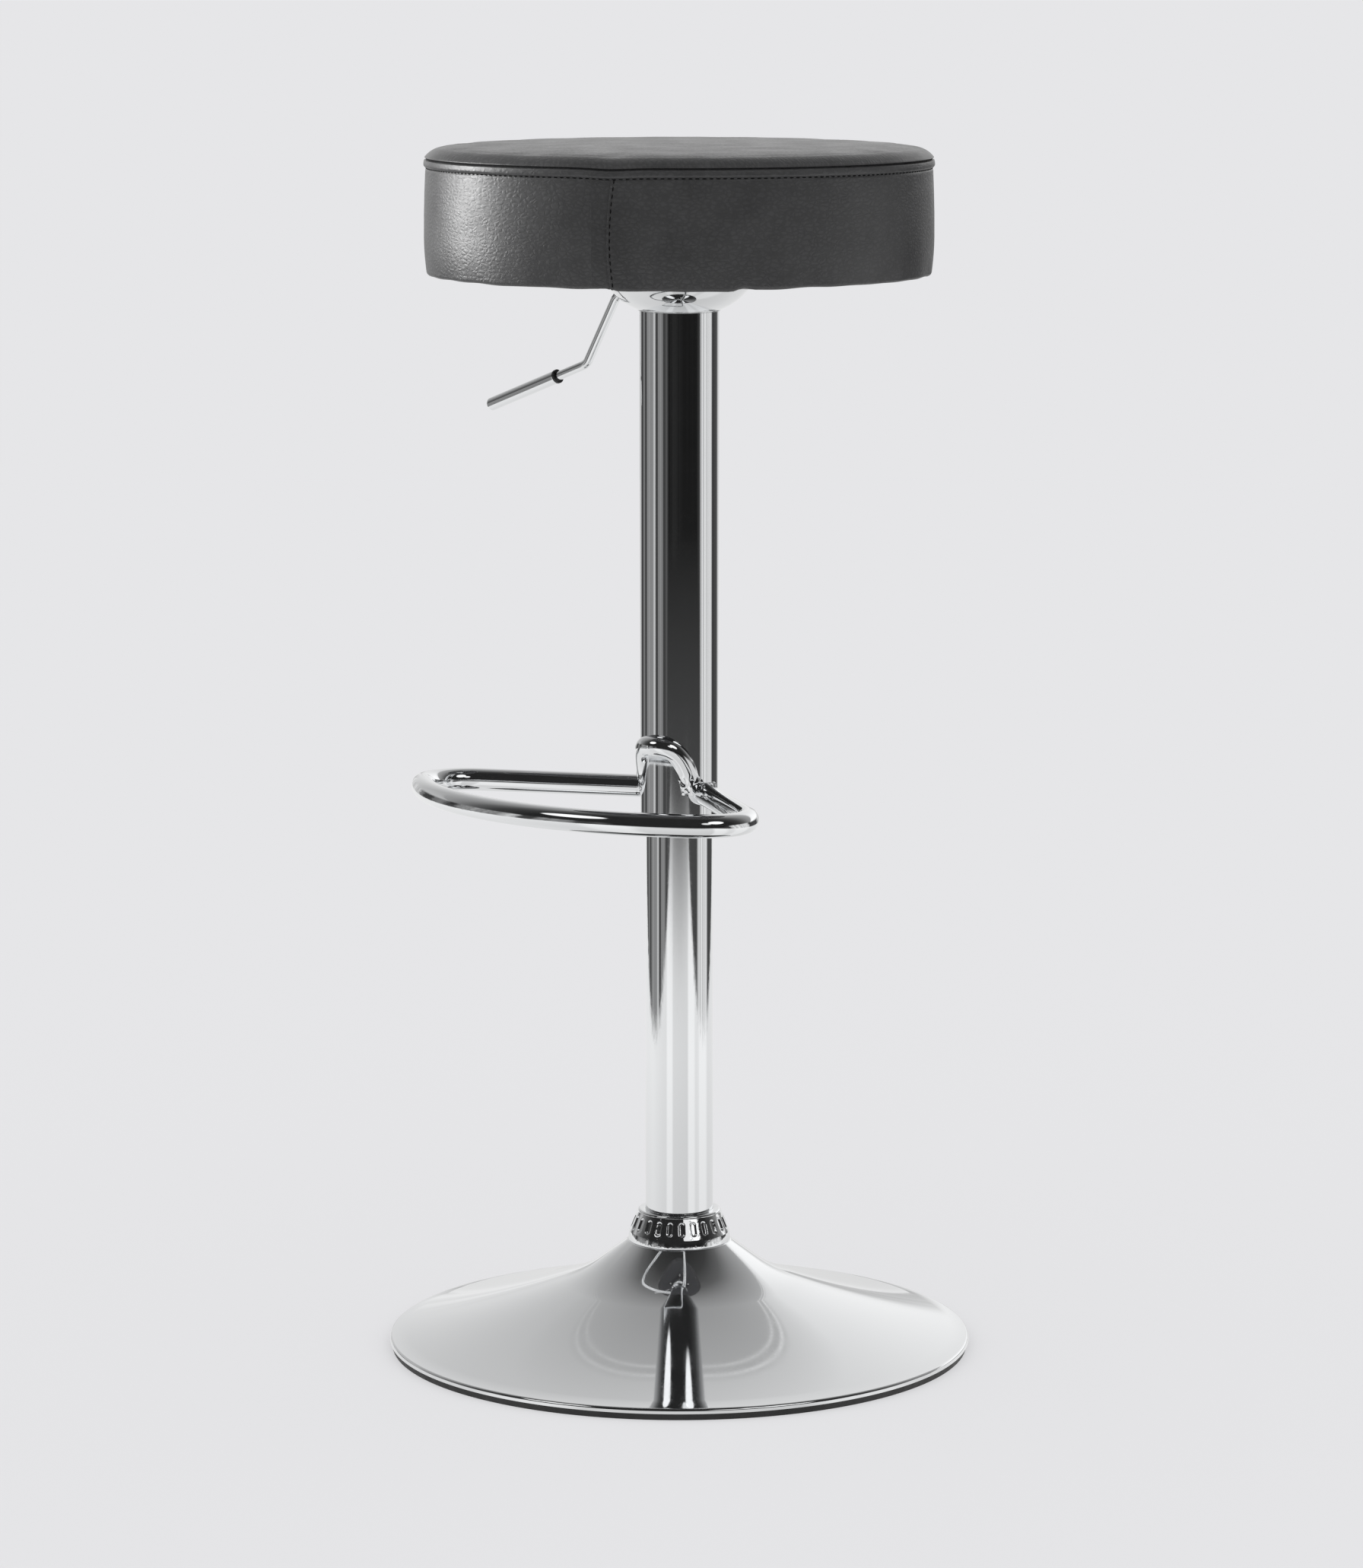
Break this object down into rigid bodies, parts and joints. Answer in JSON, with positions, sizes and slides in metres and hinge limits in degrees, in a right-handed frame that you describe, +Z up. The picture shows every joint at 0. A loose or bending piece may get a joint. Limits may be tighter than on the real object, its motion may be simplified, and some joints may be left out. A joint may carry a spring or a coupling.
{
  "type": "bar stool",
  "caption": "Swivelling height-adjustable bar stool: round black padded seat, gas-lift chrome column, looped footrest, side lever and trumpet base.",
  "frame": {"origin": "centre of the base on the floor, on the column's axis", "axes": "+Z up the column, footrest towards -Y, height lever towards -X; seat at the top of its travel"},
  "size_m": [0.41, 0.41, 0.8448],
  "materials": {
    "chrome": "polished chrome plate",
    "black_leather": "black artificial leather with a fine grain, semi-matt",
    "cushion_foam": "open-cell foam",
    "plywood": "raw birch plywood",
    "dust_cloth": "black non-woven cloth",
    "black_rubber": "moulded rubber, matt",
    "black_plate": "black powder coat",
    "bright_steel": "zinc-plated or ground steel",
    "black_plastic": "moulded nylon, matt",
    "ballast_iron": "as cast, painted grey",
    "valve_brass": "turned brass"
  },
  "bodies": {
    "base": {"base_shell": "chrome", "base_edge_ring": "black_rubber", "base_plate": "bright_steel", "ballast_disc": "ballast_iron", "column_socket": "bright_steel", "socket_screws": "bright_steel", "base_collar": "chrome", "lower_column_tube": "chrome", "guide_liner": "black_plastic", "column_foot_plug": "bright_steel", "thrust_washer_lower": "bright_steel", "thrust_balls": "bright_steel", "ball_cage": "black_plastic"},
    "swivel": {"thrust_washer_upper": "bright_steel", "piston_rod": "bright_steel", "retaining_clip": "bright_steel", "rod_end_washer": "bright_steel", "rebound_bumper": "black_rubber", "piston": "black_plastic", "piston_seal": "black_rubber", "piston_nut": "bright_steel"},
    "lift": {"pressure_cylinder": "black_plate", "cylinder_gland": "black_plastic", "valve_block": "valve_brass", "upper_column_tube": "chrome", "upper_guide_bush": "black_plastic", "tube_top_ring": "bright_steel", "taper_hub": "bright_steel", "bell_cup": "chrome", "seat_plate": "black_plate", "lever_bracket": "black_plate", "lever_pivot_pin": "bright_steel", "footrest_ring": "chrome", "footrest_saddle": "chrome", "cover_side_band": "black_leather", "cover_top_panel": "black_leather", "seat_foam": "cushion_foam", "seat_board": "plywood", "dust_cover": "dust_cloth", "staples": "bright_steel", "t_nuts": "bright_steel", "seat_screws": "bright_steel", "seat_washers": "bright_steel"},
    "lever": {"lever_rod": "chrome", "lever_grip": "chrome", "grip_insert": "black_plastic"},
    "pin": {"release_pin": "bright_steel"}
  },
  "joints": [
    {"name": "seat_swivel", "type": "hinge", "parent": "base", "child": "swivel", "pos_m": [0, 0, 0.0213], "axis": [0, 0, 1], "continuous": true},
    {"name": "seat_lift", "type": "slide", "parent": "swivel", "child": "lift", "axis": [0, 0, 1], "range_m": [-0.215, 0]},
    {"name": "lever_press", "type": "hinge", "parent": "lift", "child": "lever", "pos_m": [-0.019, 0, 0.743], "axis": [0, 1, 0], "range_deg": [0, 8], "stiffness_Nm_per_rad": 4, "springref_deg": -4.58},
    {"name": "pin_travel", "type": "slide", "parent": "lift", "child": "pin", "axis": [0, 0, -1], "range_m": [0, 0.0031]}
  ],
  "couplings": [
    {"joint": "pin_travel", "follows": "lever_press", "m_per_rad": 0.019}
  ]
}
